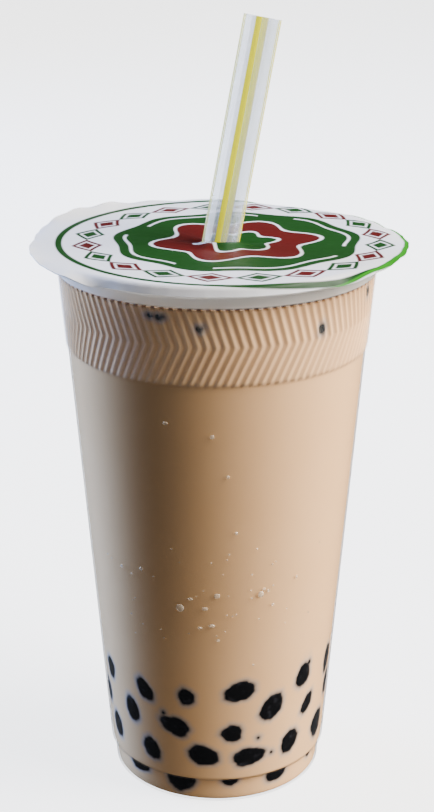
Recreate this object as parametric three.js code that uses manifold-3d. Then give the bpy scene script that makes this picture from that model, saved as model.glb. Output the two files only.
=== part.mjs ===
// Bubble tea: milk tea with tapioca pearls in a clear sealing cup, with a heat-sealed film lid and a straw.
// Millimetres, +Z up. The origin is the centre of the cup's underside, and -Y faces the viewer.

import * as THREE from 'three';
import { mergeVertices } from 'three/addons/utils/BufferGeometryUtils.js';
import Module from 'manifold-3d';

const wasm = await Module();
wasm.setup();

// Cup: a thin injection-moulded cone. The lip is the 95 mm one that sealing machines take.
const LIP_RADIUS = 47.5;
const LIP_TOP = 161.2;
const LIP_UNDERSIDE = 158.3;
const LIP_ROUNDING = 0.5;
const WALL = 0.9;
const FLOOR = 1.6;
const FLOOR_FILLET = 1.5;
const CONE_BASE_RADIUS = 31.754;
const CONE_SLOPE = 0.0813;
const CUP_SEGMENTS = 72;

// Foot: the body steps in above the base, so that cups stack. Inside the wall the step lies a little higher.
const FOOT_RADIUS = 30.97;
const FOOT_FILLET = 1.3;
const FOOT_TOP = 7.05;
const FOOT_TOP_RADIUS = 31.26;
const STEP_TOP = 8.24;
const STEP_RISE_INSIDE = 0.4;

// Rib band: chevron ribs that point round the cup, between a small ledge below and a smooth neck above.
const RIBS = 112;
const RIB_HEIGHT = 0.5;
const RIB_SLOPE = 0.0875;
const BAND_BOTTOM = 133;
const BAND_APEX = 143.8;
const BAND_TOP = 154.6;
const BAND_LEDGE = 0.15;
const LOWER_LEG_TURN = THREE.MathUtils.degToRad(6.43);
const UPPER_LEG_TURN = THREE.MathUtils.degToRad(4.47);
const NECK_RADIUS = 45;
const NECK_BOTTOM = 155.1;

// Film lid: a printed disc, sealed flat on the lip. Its cut edge hangs over the lip as a loose flange.
const FILM_THICKNESS = 0.5;
const FILM_TOP = 162;
const FILM_SEAL_RADIUS = 48.3;
const FILM_SEGMENTS = 60;
const DIMPLE_DEPTH = 1.1;
const DIMPLE_RADIUS = 11;

// The flange is pressed against the lip in front, droops at the back right and curls up at the back left.
const FLANGE_WIDTH = 5.2;
const PRESSED_WIDTH = 2.8;
const PRESSED_REACH = [34, 52];
const DROOP = { bend: 14, at: 48, spread: 40 };
const CURL = { bend: -18, at: 132, spread: 22 };
const NOTCH = { depth: 1.6, at: 178, spread: 12 };

// Straw: a wide thin tube, cut square at the top and pointed below, that leans back and to the right.
const STRAW_RADIUS = 5.25;
const STRAW_WALL = 0.45;
const STRAW_ENTRY = new THREE.Vector3(1.1, 0, FILM_TOP);
const STRAW_LEAN = THREE.MathUtils.degToRad(12.36);
const STRAW_LEAN_TOWARDS = THREE.MathUtils.degToRad(31.4);
const STRAW_ABOVE_FILM = 62.5;
const STRAW_BELOW_FILM = 122;
const STRAW_POINT = 11;
const STRAW_SEGMENTS = 24;

// Milk tea and the pearls that have sunk in it.
const TEA_LEVEL = 154;
const TEA_SEGMENTS = 48;
const GAP = 0.3;
const PEARL_RADIUS = 4.8;
const PEARL_SQUASH = 0.9;
const PEARL_DEPTH = 3.1;
const PEARL_SIDES = 6;
const FACE_INSET = 0.25;
const HEAP_TOP = 37;
const HEAP_CROWN = 4;
const HEAP_INSET = 4.9;
const HEAP_SEGMENTS = 16;

// The four layers of pearls that show through the wall: the lowest ones are small and fit in the foot.
// Angles run round the cup in degrees from the viewer's side. shown lists the pearls in view, and the rest
// of the layer is spaced evenly. scatter is how far a pearl lies above or below its layer at most.
const PEARL_LAYERS = [
  { height: 5, size: 0.72, scatter: 0, shown: [-48, -20.5, 7.5, 36, 61] },
  { height: 16, size: 1, scatter: 1.4, shown: [-65, -36, -7, 17, 41, 65] },
  { height: 25.4, size: 1, scatter: 1.4, shown: [-48, -21, 7, 29, 52] },
  { height: 36, size: 1, scatter: 1.4, shown: [-67, -38, -15, 11, 47, 72] },
];
const PEARL_SPACING = 33;
const PEARL_SCATTER_ANGLE = 4;
const PEARL_SEED = 7;

const wallRadius = (z) => CONE_BASE_RADIUS + CONE_SLOPE * z;
const innerRadius = (z) => (z < FOOT_TOP ? FOOT_RADIUS : wallRadius(z)) - WALL;

function seededRandom(seed) {
  let state = seed;
  return () => {
    state = (state * 1664525 + 1013904223) % 4294967296;
    return state / 4294967296;
  };
}

// A level circle of points, with its radius and height as numbers or as functions of the angle.
function ring(count, radius, height, turn = 0) {
  const points = [];
  for (let i = 0; i < count; i += 1) {
    const angle = (2 * Math.PI * i) / count + turn;
    const r = typeof radius === 'function' ? radius(angle, i) : radius;
    const z = typeof height === 'function' ? height(angle, i) : height;
    points.push(new THREE.Vector3(r * Math.cos(angle), r * Math.sin(angle), z));
  }
  return points;
}

// A closed skin through rings of any counts, from the lower pole up the outside and back to the upper pole.
// Two neighbouring rings are zipped together: the one that lags behind round the circle moves on first.
function skin(rings) {
  const positions = [];
  const add = (...corners) => {
    corners.forEach((p) => positions.push(p.x, p.y, p.z));
  };
  for (let k = 0; k + 1 < rings.length; k += 1) {
    const low = rings[k];
    const high = rings[k + 1];
    let i = 0;
    let j = 0;
    while (i < low.length || j < high.length) {
      const lowNext = (i + 1) / low.length;
      const highNext = (j + 1) / high.length;
      if (low.length > 1 && (high.length === 1 || lowNext <= highNext)) {
        add(low[i % low.length], low[(i + 1) % low.length], high[j % high.length]);
        i += 1;
      } else {
        add(low[i % low.length], high[(j + 1) % high.length], high[j % high.length]);
        j += 1;
      }
      if (low.length === 1 && j === high.length) break;
      if (high.length === 1 && i === low.length) break;
    }
  }
  const geometry = new THREE.BufferGeometry();
  geometry.setAttribute('position', new THREE.Float32BufferAttribute(positions, 3));
  return geometry;
}

function solid(geometry) {
  const bare = geometry.clone();
  bare.deleteAttribute('normal');
  bare.deleteAttribute('uv');
  const merged = mergeVertices(bare, 1e-4);
  return new wasm.Manifold(new wasm.Mesh({
    numProp: 3,
    vertProperties: new Float32Array(merged.attributes.position.array),
    triVerts: new Uint32Array(merged.index.array),
  }));
}

function surface(manifold) {
  const mesh = manifold.getMesh();
  const geometry = new THREE.BufferGeometry();
  geometry.setAttribute('position', new THREE.BufferAttribute(mesh.vertProperties, 3));
  geometry.setIndex(new THREE.BufferAttribute(mesh.triVerts, 1));
  return geometry;
}

function cupGeometry() {
  const crest = (z) => wallRadius(BAND_BOTTOM) + RIB_HEIGHT + RIB_SLOPE * (z - BAND_BOTTOM);
  const groove = (z) => crest(z) - RIB_HEIGHT + 0.05;
  const ribbed = (z, turn) => ring(2 * RIBS, (angle, i) => (i % 2 ? crest(z) : groove(z)), z, turn);
  const plain = (radius, z) => ring(CUP_SEGMENTS, radius, z);
  const pole = (z) => ring(1, 0, z);
  const innerFloor = innerRadius(FLOOR + FLOOR_FILLET);
  return skin([
    pole(0),
    plain(FOOT_RADIUS - FOOT_FILLET, 0),
    plain(FOOT_RADIUS, FOOT_FILLET),
    plain(FOOT_TOP_RADIUS, FOOT_TOP),
    plain(wallRadius(STEP_TOP), STEP_TOP),
    plain(wallRadius(BAND_BOTTOM), BAND_BOTTOM),
    ribbed(BAND_BOTTOM + BAND_LEDGE, 0),
    ribbed(BAND_APEX, LOWER_LEG_TURN),
    ribbed(BAND_TOP, LOWER_LEG_TURN - UPPER_LEG_TURN),
    plain(NECK_RADIUS, NECK_BOTTOM),
    plain(NECK_RADIUS, LIP_UNDERSIDE),
    plain(LIP_RADIUS, LIP_UNDERSIDE),
    plain(LIP_RADIUS, LIP_TOP - LIP_ROUNDING),
    plain(LIP_RADIUS - LIP_ROUNDING, LIP_TOP),
    plain(NECK_RADIUS - WALL, LIP_TOP),
    plain(NECK_RADIUS - WALL, LIP_UNDERSIDE),
    plain(innerRadius(NECK_BOTTOM), NECK_BOTTOM),
    plain(innerRadius(STEP_TOP), STEP_TOP + STEP_RISE_INSIDE),
    plain(innerFloor, FOOT_TOP + STEP_RISE_INSIDE),
    plain(innerFloor, FLOOR + FLOOR_FILLET),
    plain(innerFloor - FLOOR_FILLET, FLOOR),
    pole(FLOOR),
  ]);
}

// A smooth bump of the angle round the cup, in degrees from +X.
function bump(degrees, { at, spread }) {
  const away = THREE.MathUtils.euclideanModulo(degrees - at + 180, 360) - 180;
  return Math.exp(-((away / spread) ** 2));
}

// The flange at an angle round the cup: how far it is bent down, and how wide it is outside the lip.
function flangeAt(angle) {
  const degrees = THREE.MathUtils.radToDeg(angle);
  const fromFront = Math.abs(THREE.MathUtils.euclideanModulo(degrees + 270, 360) - 180);
  const pressed = 1 - THREE.MathUtils.smoothstep(fromFront, ...PRESSED_REACH);
  const folds = DROOP.bend * bump(degrees, DROOP) + CURL.bend * bump(degrees, CURL);
  const loose = folds + 3 * Math.sin(7 * angle);
  const cut = FLANGE_WIDTH - NOTCH.depth * bump(degrees, NOTCH) + 0.25 * Math.sin(5 * angle + 1);
  return {
    bend: THREE.MathUtils.degToRad(THREE.MathUtils.lerp(loose, 90, pressed)),
    width: THREE.MathUtils.lerp(cut, PRESSED_WIDTH, pressed),
  };
}

function strawFrame() {
  const across = Math.sin(STRAW_LEAN);
  const direction = new THREE.Vector3(
    across * Math.cos(STRAW_LEAN_TOWARDS),
    across * Math.sin(STRAW_LEAN_TOWARDS),
    Math.cos(STRAW_LEAN),
  );
  return new THREE.Quaternion().setFromUnitVectors(new THREE.Vector3(0, 0, 1), direction);
}

// A tube on its own axis, which starts at the film. grow widens its wall on both sides to cut clearance.
function strawTube(grow) {
  const outer = STRAW_RADIUS + grow;
  const inner = STRAW_RADIUS - STRAW_WALL - grow;
  const low = -STRAW_BELOW_FILM - grow;
  const high = STRAW_ABOVE_FILM;
  const point = (r) => (angle) => low + STRAW_POINT * (0.5 - (0.5 * r * Math.cos(angle)) / STRAW_RADIUS);
  const rings = [
    ring(STRAW_SEGMENTS, inner, point(inner)),
    ring(STRAW_SEGMENTS, outer, point(outer)),
    ring(STRAW_SEGMENTS, outer, high),
    ring(STRAW_SEGMENTS, inner, high),
  ];
  return skin([...rings, rings[0]]);
}

function placedOnStraw(geometry) {
  return geometry
    .clone()
    .applyQuaternion(strawFrame())
    .translate(STRAW_ENTRY.x, STRAW_ENTRY.y, STRAW_ENTRY.z);
}

// One face of the film from the middle outwards. depth is how far it lies below the upper face.
function filmRings(depth) {
  const level = (radius) => {
    const dip = DIMPLE_DEPTH * Math.exp(-((radius / DIMPLE_RADIUS) ** 2));
    return ring(radius ? FILM_SEGMENTS : 1, radius, FILM_TOP - dip - depth);
  };
  const fold = ring(
    FILM_SEGMENTS,
    (angle) => FILM_SEAL_RADIUS - depth * Math.tan(flangeAt(angle).bend / 2),
    FILM_TOP - depth,
  );
  const edge = ring(
    FILM_SEGMENTS,
    (angle) => {
      const { bend, width } = flangeAt(angle);
      return FILM_SEAL_RADIUS + width * Math.cos(bend) - depth * Math.sin(bend);
    },
    (angle) => {
      const { bend, width } = flangeAt(angle);
      return FILM_TOP - width * Math.sin(bend) - depth * Math.cos(bend);
    },
  );
  return [level(0), level(9), level(18), fold, edge];
}

function filmGeometry() {
  const disc = solid(skin([...filmRings(FILM_THICKNESS), ...filmRings(0).reverse()]));
  const bore = new THREE.CylinderGeometry(STRAW_RADIUS + GAP, STRAW_RADIUS + GAP, 30, STRAW_SEGMENTS);
  bore.rotateX(Math.PI / 2);
  return surface(disc.subtract(solid(placedOnStraw(bore))));
}

// The space that the drink can fill: the cup's inside, less the clearance, up to the level.
function drinkSpace() {
  const floor = FLOOR + GAP;
  const corner = innerRadius(FLOOR + FLOOR_FILLET) - GAP;
  return solid(skin([
    ring(1, 0, floor),
    ring(TEA_SEGMENTS, corner - FLOOR_FILLET, floor),
    ring(TEA_SEGMENTS, corner, floor + FLOOR_FILLET),
    ring(TEA_SEGMENTS, corner, FOOT_TOP + STEP_RISE_INSIDE + GAP),
    ring(TEA_SEGMENTS, innerRadius(STEP_TOP) - GAP, STEP_TOP + STEP_RISE_INSIDE + GAP),
    ring(TEA_SEGMENTS, innerRadius(TEA_LEVEL) - GAP, TEA_LEVEL),
    ring(1, 0, TEA_LEVEL),
  ]));
}

function pearlPlaces() {
  const random = seededRandom(PEARL_SEED);
  const scatter = (most) => most * (2 * random() - 1);
  const places = [];
  PEARL_LAYERS.forEach(({ height, size, scatter: reach, shown }) => {
    const first = shown[0];
    const last = shown[shown.length - 1];
    const hidden = Math.round((360 - last + first) / PEARL_SPACING) - 1;
    const step = (360 - last + first) / (hidden + 1);
    const spaced = (k) => last + (k + 1) * step + scatter(PEARL_SCATTER_ANGLE);
    const unseen = Array.from({ length: hidden }, (_, k) => spaced(k));
    [...shown, ...unseen].forEach((degrees) => {
      places.push({
        angle: THREE.MathUtils.degToRad(degrees),
        height: height + scatter(reach),
        size,
        turn: Math.PI * random(),
      });
    });
  });
  return places;
}

// A pearl as seen from its flat face, which it presses against the wall: the face is at 0, and the pearl's
// middle lies depth below it.
function pearlShape(radius, depth, overshoot) {
  const at = (z) => ring(PEARL_SIDES, Math.sqrt(radius ** 2 - (z + depth) ** 2), z);
  const face = at(0);
  const raised = face.map((p) => p.clone().setZ(overshoot));
  const middle = [at(-depth - 0.7 * radius), at(-depth + 0.1 * radius)];
  const outer = overshoot ? [face, raised] : [face];
  return skin([ring(1, 0, -depth - radius), ...middle, ...outer, ring(1, 0, overshoot)]);
}

// The sunk pearls as one heap: a plain core with the outermost pearls fused on. To cut the drink round it,
// the heap grows by a clearance and its pearls overshoot the drink's surface.
function pearlHeap(grow, overshoot) {
  const core = (z) => innerRadius(z) - HEAP_INSET + grow;
  const body = solid(skin([
    ring(1, 0, FLOOR + GAP - overshoot),
    ring(HEAP_SEGMENTS, core(FLOOR), FLOOR + GAP - overshoot),
    ring(HEAP_SEGMENTS, core(HEAP_TOP), HEAP_TOP + grow),
    ring(1, 0, HEAP_TOP + HEAP_CROWN + grow),
  ]));
  const pearls = pearlPlaces().map(({ angle, height, size, turn }) => {
    const face = innerRadius(height) - GAP - FACE_INSET;
    const pearl = pearlShape(PEARL_RADIUS * size + grow, PEARL_DEPTH * size, overshoot)
      .rotateZ(turn)
      .scale(1, PEARL_SQUASH, 1)
      .rotateX(Math.PI / 2 + Math.atan(CONE_SLOPE))
      .rotateZ(angle);
    return solid(pearl.translate(face * Math.sin(angle), -face * Math.cos(angle), height));
  });
  return wasm.Manifold.union([body, ...pearls]);
}

function part(name, geometry, material) {
  const mesh = new THREE.Mesh(geometry, new THREE.MeshStandardMaterial(material));
  mesh.name = name;
  return mesh;
}

const space = drinkSpace();
const heap = pearlHeap(0, 0);
const tea = space.subtract(pearlHeap(GAP, 1.5)).subtract(solid(placedOnStraw(strawTube(GAP))));

const bubbleTea = new THREE.Group();
bubbleTea.add(part('cup', cupGeometry(), {
  color: '#e6e9ee',
  roughness: 0.18,
  metalness: 0,
  transparent: true,
  opacity: 0.3,
}));
bubbleTea.add(part('milk_tea', surface(tea), { color: '#d8bd9c', roughness: 0.35, metalness: 0 }));
bubbleTea.add(part('pearls', surface(heap), { color: '#17110f', roughness: 0.3, metalness: 0 }));
bubbleTea.add(part('film_lid', filmGeometry(), { color: '#e3e3e6', roughness: 0.4, metalness: 0 }));

const straw = part('straw', strawTube(0), { color: '#f2f3ee', roughness: 0.35, metalness: 0 });
straw.quaternion.copy(strawFrame());
straw.position.copy(STRAW_ENTRY);
bubbleTea.add(straw);

export default bubbleTea;
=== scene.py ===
import math

import bpy
import numpy as np
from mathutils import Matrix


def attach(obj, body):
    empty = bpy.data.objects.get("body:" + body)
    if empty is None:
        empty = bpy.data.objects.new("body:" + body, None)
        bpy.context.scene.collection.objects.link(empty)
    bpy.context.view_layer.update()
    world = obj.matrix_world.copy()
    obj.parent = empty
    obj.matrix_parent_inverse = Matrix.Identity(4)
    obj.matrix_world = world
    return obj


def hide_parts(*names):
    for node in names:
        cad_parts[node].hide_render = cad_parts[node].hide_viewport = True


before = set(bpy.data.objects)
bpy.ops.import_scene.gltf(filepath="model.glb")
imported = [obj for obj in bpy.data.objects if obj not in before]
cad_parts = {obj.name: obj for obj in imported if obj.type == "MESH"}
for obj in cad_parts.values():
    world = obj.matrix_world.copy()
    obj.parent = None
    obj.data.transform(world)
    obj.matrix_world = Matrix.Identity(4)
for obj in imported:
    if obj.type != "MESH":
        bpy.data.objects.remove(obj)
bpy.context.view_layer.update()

# Cup: clear polypropylene, injection moulded in one piece, with a stepped foot that lets cups stack, a
# plain cone, a band of chevron ribs for grip, and a lip for the film. The wall is a thin clear skin.
# The sizes of all pieces are in millimetres.
MM = 0.001
TURN = 2 * math.pi
WALL = 0.9
FLOOR = 1.6
FLOOR_FILLET = 1.5
CONE_BASE_RADIUS = 31.754
CONE_SLOPE = 0.0813
FOOT_RADIUS = 30.97
FOOT_FILLET = 1.3
FOOT_TOP = 7.6
FOOT_TOP_RADIUS = 31.26
STEP_TOP = 8.24
STEP_RISE_INSIDE = 0.4
RIBS = 112
COLUMNS = 6 * RIBS
RIB_HEIGHT = 0.5
RIB_SLOPE = 0.0875
APEX_ROUNDING = 0.004
BAND_BOTTOM = 133.0
BAND_LEDGE = 0.15
BAND_APEX = 143.8
BAND_TOP = 154.6
LOWER_LEG_TURN = math.radians(6.43)
UPPER_LEG_TURN = math.radians(4.47)
NECK_RADIUS = 45.0
NECK_BOTTOM = 155.1
POCKET_BOTTOM = BAND_TOP - 0.05
LIP_UNDERSIDE = 158.3
LIP_RADIUS = 47.5
LIP_TOP = 161.6
LIP_ROUNDING = 0.6
LIP_EDGE = 0.4


def wall_radius(z):
    """The cone's outer radius, which grows evenly with the height."""
    return CONE_BASE_RADIUS + CONE_SLOPE * z


def crest_radius(z):
    """The radius of the ribs' crests: they stand out from the cone and lean out a little more than it."""
    return wall_radius(BAND_BOTTOM) + RIB_HEIGHT + RIB_SLOPE * (z - BAND_BOTTOM)


def smooth(value, start, end):
    """0 up to start, 1 from end on, and t * t * (3 - 2 t) between them."""
    t = np.clip((value - start) / (end - start), 0, 1)
    return t * t * (3 - 2 * t)


def rib_turn(z):
    """How far the ribs have turned round the cup at a height: up to the apex and back again. It is the lower
    of two straight lines, rounded where they meet: (a + b - sqrt((a - b)^2 + r^2)) / 2."""
    up = LOWER_LEG_TURN * (z - BAND_BOTTOM - BAND_LEDGE) / (BAND_APEX - BAND_BOTTOM - BAND_LEDGE)
    back = LOWER_LEG_TURN - UPPER_LEG_TURN * (z - BAND_APEX) / (BAND_TOP - BAND_APEX)
    meet = 0.5 * (up + back - np.sqrt((up - back) ** 2 + APEX_ROUNDING ** 2))
    return np.clip(meet, 0, None) * (z > BAND_BOTTOM)


def rib_depth(angle):
    """How deep the skin lies under the crests: 0 on a crest and RIB_HEIGHT in a groove, the wider one."""
    wave = 0.5 + 0.5 * np.cos(RIBS * angle)
    return RIB_HEIGHT * (1 - wave ** 1.3)


def turned(rings, columns=COLUMNS):
    """Rings of points from (radius, height) pairs: a radius is a number or one for each column, and a column
    runs along the ribs, so that it turns round the cup with them."""
    column_angle = TURN * np.arange(columns) / columns
    points = np.zeros((len(rings), columns, 3))
    for row, (radius, height) in enumerate(rings):
        angle = column_angle + rib_turn(min(height, BAND_TOP))
        points[row, :, 0] = radius * np.cos(angle)
        points[row, :, 1] = radius * np.sin(angle)
        points[row, :, 2] = height
    return points


def arc(centre, size, start, end, steps):
    """Points (radius, height) on a quarter circle or less: centre + size * (cos a, sin a), with a from start
    to end in degrees."""
    return [
        (centre[0] + size * math.cos(a), centre[1] + size * math.sin(a))
        for a in np.radians(np.linspace(start, end, steps))
    ]


def ring_skin(name, points, ends="fans", crease=35):
    """A closed mesh from an array of rings, (rings, columns, 3) in mm. Each ring joins the next by quads that
    wrap round. At the two ends a fan closes on the ring's middle, or the last ring joins the first again."""
    rows, columns = points.shape[:2]
    vertices = points.reshape(-1, 3)
    column = np.arange(columns)
    following = (column + 1) % columns
    joined = rows if ends == "loop" else rows - 1
    row = np.arange(joined)[:, None]
    here, beyond = row * columns, (row + 1) % rows * columns
    quads = np.stack([here + column, here + following, beyond + following, beyond + column], -1)
    faces = quads.reshape(-1, 4).tolist()
    if ends == "fans":
        middles = np.array([points[0].mean(0), points[-1].mean(0)])
        vertices = np.concatenate([vertices, middles])
        first, last = rows * columns, rows * columns + 1
        top = (rows - 1) * columns
        faces += np.stack([following, column, np.full(columns, first)], -1).tolist()
        faces += np.stack([top + column, top + following, np.full(columns, last)], -1).tolist()
    mesh = bpy.data.meshes.new(name)
    mesh.from_pydata((vertices * MM).tolist(), [], faces)
    mesh.polygons.foreach_set("use_smooth", np.ones(len(mesh.polygons), bool))
    mesh.set_sharp_from_angle(angle=math.radians(crease))
    piece = bpy.data.objects.new(name, mesh)
    bpy.context.scene.collection.objects.link(piece)
    return piece


def linear(hex_colour):
    """An sRGB hex colour as linear RGBA."""
    parts = [int(hex_colour[i:i + 2], 16) / 255 for i in (1, 3, 5)]
    return tuple(c / 12.92 if c <= 0.04045 else ((c + 0.055) / 1.055) ** 2.4 for c in parts) + (1.0,)


def add(tree, kind, inputs=None, **settings):
    """Adds a node, sets its settings, and gives each input a value or a link from another node's socket."""
    new = tree.nodes.new(kind)
    for key, value in settings.items():
        setattr(new, key, value)
    for key, value in (inputs or {}).items():
        if isinstance(value, bpy.types.NodeSocket):
            tree.links.new(value, new.inputs[key])
        else:
            new.inputs[key].default_value = value
    return new


def finish_material(name):
    """A new material with an empty node tree."""
    material = bpy.data.materials.new(name)
    material.use_nodes = True
    material.node_tree.nodes.clear()
    return material, material.node_tree


band_rows = np.concatenate([
    np.linspace(BAND_BOTTOM + BAND_LEDGE, BAND_APEX - 1, 12),
    np.linspace(BAND_APEX - 0.6, BAND_APEX + 0.6, 5),
    np.linspace(BAND_APEX + 1, BAND_TOP, 12),
])
around = TURN * np.arange(COLUMNS) / COLUMNS
cup_outside = (
    [(FOOT_RADIUS - 6, 0.0)]
    + arc((FOOT_RADIUS - FOOT_FILLET, FOOT_FILLET), FOOT_FILLET, -90, 0, 6)
    + [(FOOT_TOP_RADIUS - 0.05, FOOT_TOP - 0.4), (FOOT_TOP_RADIUS, FOOT_TOP)]
    + [(FOOT_TOP_RADIUS + 0.2, FOOT_TOP + 0.1), (wall_radius(STEP_TOP) - 0.3, STEP_TOP - 0.4)]
    + [(wall_radius(STEP_TOP) - 0.05, STEP_TOP - 0.2), (wall_radius(STEP_TOP), STEP_TOP)]
    + [(wall_radius(z), z) for z in (9, 12, 24, 40, 60, 80, 100, 120, 132.3, BAND_BOTTOM - 0.05)]
    + [(crest_radius(z) - rib_depth(around), z) for z in band_rows]
    + [(crest_radius(POCKET_BOTTOM) - 1.6 * rib_depth(around), POCKET_BOTTOM + 0.02)]
    + [(NECK_RADIUS - 1.4 * rib_depth(around), NECK_BOTTOM - 0.12), (NECK_RADIUS, NECK_BOTTOM)]
    + [(NECK_RADIUS, LIP_UNDERSIDE - LIP_EDGE), (NECK_RADIUS + 0.2, LIP_UNDERSIDE)]
    + arc((LIP_RADIUS - LIP_EDGE, LIP_UNDERSIDE + LIP_EDGE), LIP_EDGE, -90, 0, 4)
    + arc((LIP_RADIUS - LIP_ROUNDING, LIP_TOP - LIP_ROUNDING), LIP_ROUNDING, 0, 90, 5)
)
foot_inside = FOOT_RADIUS - WALL
cup_inside = (
    arc((NECK_RADIUS - WALL + LIP_EDGE, LIP_TOP - LIP_EDGE), LIP_EDGE, 90, 180, 4)
    + [(NECK_RADIUS - WALL, LIP_UNDERSIDE), (wall_radius(NECK_BOTTOM) - WALL, NECK_BOTTOM)]
    + [(wall_radius(z) - WALL, z) for z in (BAND_TOP, BAND_APEX, BAND_BOTTOM, 100, 60, 30, 10)]
    + [(wall_radius(STEP_TOP) - WALL, STEP_TOP + STEP_RISE_INSIDE)]
    + [(foot_inside, FOOT_TOP + STEP_RISE_INSIDE)]
    + arc((foot_inside - FLOOR_FILLET, FLOOR + FLOOR_FILLET), FLOOR_FILLET, 0, -90, 5)
    + [(foot_inside - 8, FLOOR)]
)
cup = ring_skin("sealing_cup", turned(cup_outside + cup_inside))
# The grooves end in small pockets under the neck. Their darkness is painted shade: the groove tops there are
# marked, and the clear plastic lets a dark brown through them.
groove = smooth(-np.cos(RIBS * around), -0.3, 0.2)
outside_heights = np.array([height for _, height in cup_outside + cup_inside])
pocket_rows = (outside_heights > POCKET_BOTTOM) & (outside_heights < NECK_BOTTOM)
pocket_rows[len(cup_outside):] = False
painted_pocket_shade_mask = np.append(np.outer(pocket_rows, groove).ravel(), (0, 0))
cup.data.attributes.new("painted_pocket_shade", "FLOAT", "POINT").data.foreach_set("value", painted_pocket_shade_mask)

# Injection-moulded polypropylene: clear with a slight haze, and a soft gloss that grows towards grazing
# angles. The groove tops under the neck are darkened with painted shade.
clear_pp, tree = finish_material("clear_moulded_polypropylene")
gloss = add(tree, "ShaderNodeBsdfGlossy", {"Color": linear("#ffffff"), "Roughness": 0.16})
painted_pocket_shade = add(tree, "ShaderNodeAttribute", attribute_name="painted_pocket_shade")
# Painted shade: where the groove tops are marked, the see-through colour turns dark brown.
painted_pocket_tint = add(tree, "ShaderNodeMix", {
    "Factor": painted_pocket_shade.outputs["Fac"], "A": linear("#fcfcfd"), "B": linear("#8f7966"),
}, data_type="RGBA")
through = add(tree, "ShaderNodeBsdfTransparent", {"Color": painted_pocket_tint.outputs["Result"]})
scattered = add(tree, "ShaderNodeBsdfDiffuse", {"Color": linear("#efece6")})
let_through = add(tree, "ShaderNodeBsdfTranslucent", {"Color": linear("#efece6")})
haze = add(tree, "ShaderNodeMixShader", {0: 0.62, 1: scattered.outputs[0], 2: let_through.outputs[0]})
place = add(tree, "ShaderNodeTexCoord")
up = add(tree, "ShaderNodeSeparateXYZ", {0: place.outputs["Object"]})
# The neck and the lip are the thickest stretch of the wall, so the haze is strongest there. The ribs have
# a little of it.
rib_haze = add(tree, "ShaderNodeMapRange", {
    "Value": up.outputs["Z"],
    "From Min": (BAND_BOTTOM - 0.5) * MM,
    "From Max": (BAND_BOTTOM + 0.5) * MM,
    "To Min": 0.0,
    "To Max": 0.11,
})
neck_haze = add(tree, "ShaderNodeMapRange", {
    "Value": up.outputs["Z"],
    "From Min": BAND_TOP * MM,
    "From Max": (NECK_BOTTOM + 0.2) * MM,
    "To Min": 0.004,
    "To Max": 0.8,
})
haze_share = add(tree, "ShaderNodeMath", {0: rib_haze.outputs[0], 1: neck_haze.outputs[0]}, operation="ADD")
cloudy = add(tree, "ShaderNodeMixShader", {
    0: haze_share.outputs[0], 1: through.outputs[0], 2: haze.outputs[0],
})
# The share that is mirrored grows with the fifth power of one less the cosine: 0.025 + 0.96 (1 - cos a)^5.
# The drink wets the inner face, so that face mirrors less than dry plastic does.
facing = add(tree, "ShaderNodeLayerWeight", {"Blend": 0.5})
grazing = add(tree, "ShaderNodeMath", {0: facing.outputs["Facing"], 1: 5.0}, operation="POWER")
mirrored = add(tree, "ShaderNodeMath", {0: grazing.outputs[0], 1: 0.96, 2: 0.025}, operation="MULTIPLY_ADD")
shell = add(tree, "ShaderNodeMixShader", {
    0: mirrored.outputs[0], 1: cloudy.outputs[0], 2: gloss.outputs[0],
})
add(tree, "ShaderNodeOutputMaterial", {"Surface": shell.outputs[0]})
cup.data.materials.append(clear_pp)
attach(cup, "root")
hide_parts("cup")

# Tapioca pearls: boiled starch balls, almost black, which sink and press flat against the wall. Each shows
# as a lumpy dark patch where it touches, and the rest of it is lost in the milk. Crumbs of them stick to
# the wall higher up.
TEA_INSET = 0.45
PEARL_RADIUS = 4.8
PEARL_PROUD = 0.07
PEARL_COLUMNS = 48
FOOT_PEARLS = 8.0
WAVES = (2, 3, 5, 8, 13)
WAVE_STRENGTHS = np.array([0.03, 0.05, 0.035, 0.025, 0.015])
CRUMB_DEPTH = 0.75
SHOWN_PEARLS = [
    # degrees from the viewer's side, height, width and height of the patch, tilt in degrees
    (-67, 35.4, 5.2, 6.4, 10), (-38, 35.2, 4.8, 7.0, 38), (-15, 35.9, 4.6, 4.8, 0),
    (11, 38.0, 8.8, 6.2, 16), (28, 31.0, 6.4, 8.8, -36), (47, 38.0, 5.6, 7.2, -22),
    (72, 37.2, 5.0, 8.8, -12), (-48, 26.4, 5.4, 7.4, 14), (-21.5, 25.4, 8.6, 5.8, -14),
    (7.5, 24.0, 5.8, 5.2, 4), (52, 27.4, 3.8, 6.8, -32), (-76, 25.6, 5.6, 7.2, 10),
    (76, 28.0, 5.2, 7.4, -10), (-65, 16.6, 5.6, 7.4, 18), (-36, 15.5, 5.4, 6.8, 26),
    (-7, 16.4, 8.8, 6.2, -14), (16.7, 15.4, 9.6, 5.8, 8), (40.7, 17.0, 5.8, 7.4, -30),
    (65.5, 16.8, 7.0, 8.4, -15), (-48, 7.0, 8.4, 4.4, 6), (-20, 7.0, 9.0, 8.0, 0),
    (7.2, 7.2, 4.6, 3.4, 0), (34.5, 6.8, 7.4, 5.2, 14), (63, 6.4, 2.0, 1.4, 0),
]
CRUMBS = [
    # the same, for the crumbs
    (-20.0, 151.8, 2.0, 1.5, 0), (-23.5, 152.0, 1.4, 1.0, 0), (-5.9, 149.2, 1.6, 1.4, 0),
    (40.0, 146.3, 1.9, 2.6, -12), (70.0, 151.5, 1.4, 2.4, 0), (51.0, 41.4, 1.0, 1.2, 0),
    (-27.5, 29.1, 0.7, 0.7, 0), (21.3, 21.4, 0.6, 0.6, 0), (29.2, 15.3, 0.6, 0.6, 0),
]
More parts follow.
